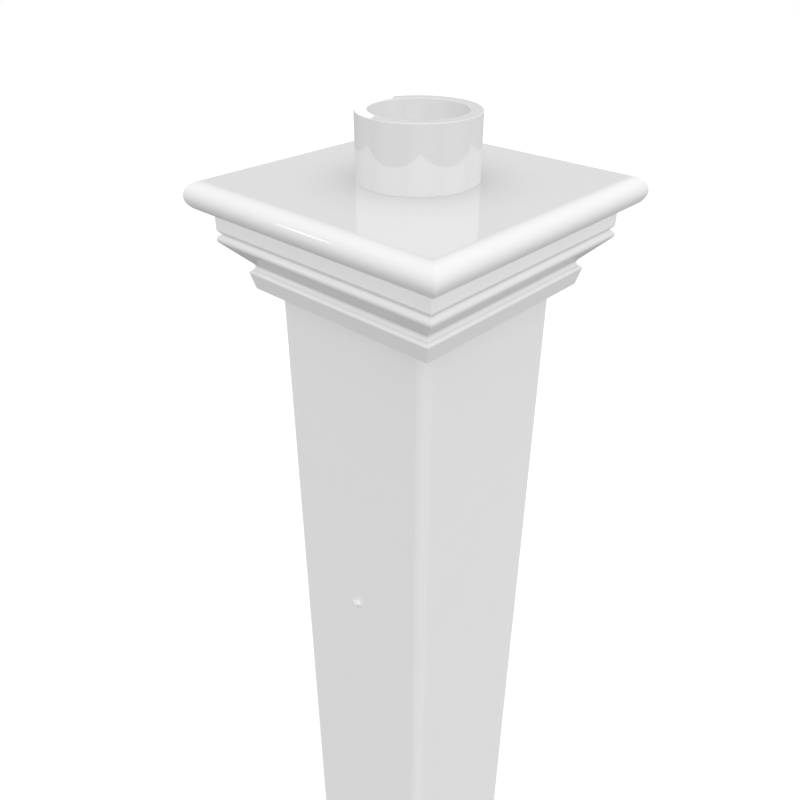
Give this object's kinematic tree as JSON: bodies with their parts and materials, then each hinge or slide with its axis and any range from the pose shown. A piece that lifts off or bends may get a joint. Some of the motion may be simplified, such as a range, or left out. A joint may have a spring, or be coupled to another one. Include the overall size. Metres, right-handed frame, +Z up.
{
  "type": "post cap with lamp collar",
  "caption": "Square post-top cap with bullnose top board, fascia, crown moulding and drip band, a round open collar for a post lantern on top, seated on a hollow square post.",
  "frame": {"origin": "centre of the post's foot, on the surface it stands on", "axes": "+Z up the post, -Y the front face with the visible screw, +X the right face"},
  "size_m": [0.2032, 0.2032, 0.7209],
  "materials": {
    "white_vinyl": "glossy white extruded vinyl, near mirror-smooth",
    "vinyl_board": "matt foamed vinyl board, sawn edges",
    "zinc_steel": "bright zinc plated",
    "white_screw": "white painted screw head"
  },
  "bodies": {
    "post": {"post_sleeve": "white_vinyl", "stiffener_block": "vinyl_board", "face_screw_front": "white_screw", "face_screw_back": "white_screw"},
    "cap": {"top_board": "white_vinyl", "collar_ring": "white_vinyl", "deck_plate": "vinyl_board", "fascia_front": "white_vinyl", "fascia_right": "white_vinyl", "fascia_back": "white_vinyl", "fascia_left": "white_vinyl", "crown_front": "white_vinyl", "crown_right": "white_vinyl", "crown_back": "white_vinyl", "crown_left": "white_vinyl", "drip_band_front": "white_vinyl", "drip_band_right": "white_vinyl", "drip_band_back": "white_vinyl", "drip_band_left": "white_vinyl", "core_board_front": "vinyl_board", "core_board_right": "vinyl_board", "core_board_back": "vinyl_board", "core_board_left": "vinyl_board", "deck_screw_1": "zinc_steel", "deck_screw_2": "zinc_steel", "deck_screw_3": "zinc_steel", "deck_screw_4": "zinc_steel", "collar_screw_1": "zinc_steel", "collar_screw_2": "zinc_steel", "collar_screw_3": "zinc_steel", "collar_screw_4": "zinc_steel"}
  },
  "joints": [
    {"name": "cap_lift", "type": "slide", "parent": "post", "child": "cap", "axis": [0, 0, 1], "range_m": [0, 0.08]}
  ]
}
